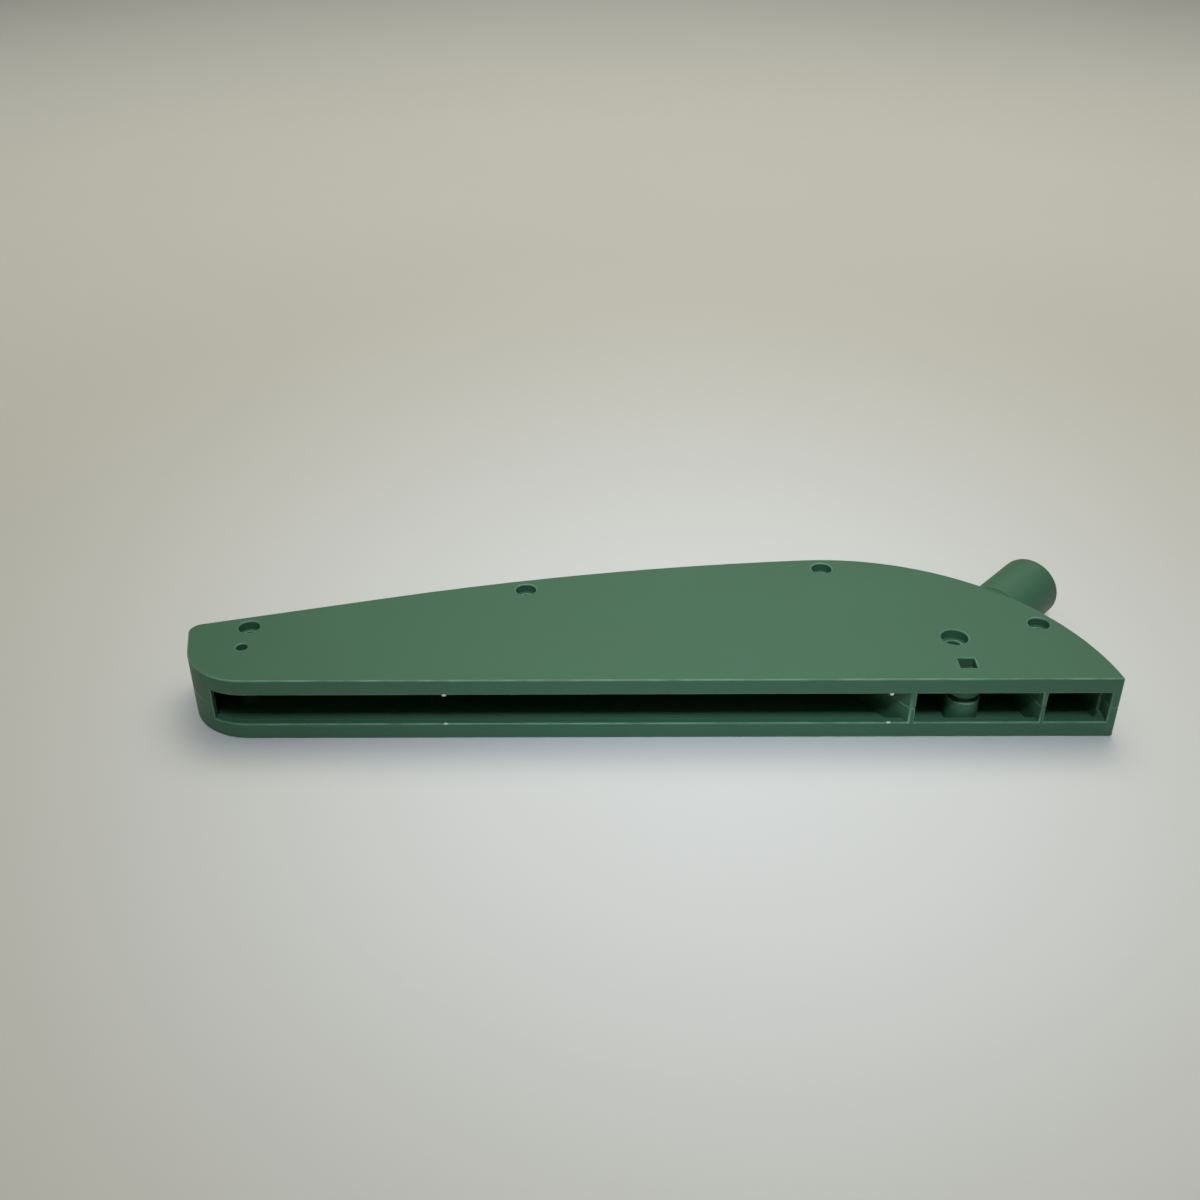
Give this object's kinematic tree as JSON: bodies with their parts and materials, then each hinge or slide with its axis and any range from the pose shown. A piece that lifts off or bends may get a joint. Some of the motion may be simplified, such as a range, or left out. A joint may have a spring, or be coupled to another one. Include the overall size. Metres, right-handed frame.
{
  "type": "saw blade guard",
  "caption": "Fin-shaped clamshell guard for a table saw blade, with a rear dust port and a pocket for the riving knife.",
  "frame": {"origin": "middle of the guard's box, on the face it lies on", "axes": "+X from the nose to the heel, +Y from the open edge to the crown, +Z through the guard from its left side to its right side"},
  "size_m": [0.4787, 0.1288, 0.036],
  "materials": {
    "shell_left": "satin moulded ABS",
    "shell_right": "satin moulded ABS",
    "screw": "zinc plated",
    "insert": "machined"
  },
  "bodies": {
    "left_shell": {"left_shell": "shell_left"},
    "right_half": {"right_shell": "shell_right", "insert_nose": "insert", "insert_mid": "insert", "insert_crown": "insert", "insert_heel": "insert"},
    "screw_nose": {"screw_nose": "screw"},
    "screw_mid": {"screw_mid": "screw"},
    "screw_crown": {"screw_crown": "screw"},
    "screw_heel": {"screw_heel": "screw"}
  },
  "joints": [
    {"name": "right_half_lift", "type": "slide", "parent": "left_shell", "child": "right_half", "axis": [0, 0, 1], "range_m": [0, 0.05]},
    {"name": "screw_nose_turn", "type": "hinge", "parent": "left_shell", "child": "screw_nose", "pos_m": [-0.20816, -0.01476, 0.0045], "axis": [0, 0, 1], "continuous": true},
    {"name": "screw_mid_turn", "type": "hinge", "parent": "left_shell", "child": "screw_mid", "pos_m": [-0.06324, 0.02201, 0.0045], "axis": [0, 0, 1], "continuous": true},
    {"name": "screw_crown_turn", "type": "hinge", "parent": "left_shell", "child": "screw_crown", "pos_m": [0.10282, 0.04384, 0.0045], "axis": [0, 0, 1], "continuous": true},
    {"name": "screw_heel_turn", "type": "hinge", "parent": "left_shell", "child": "screw_heel", "pos_m": [0.20984, -0.01379, 0.0045], "axis": [0, 0, 1], "continuous": true}
  ]
}
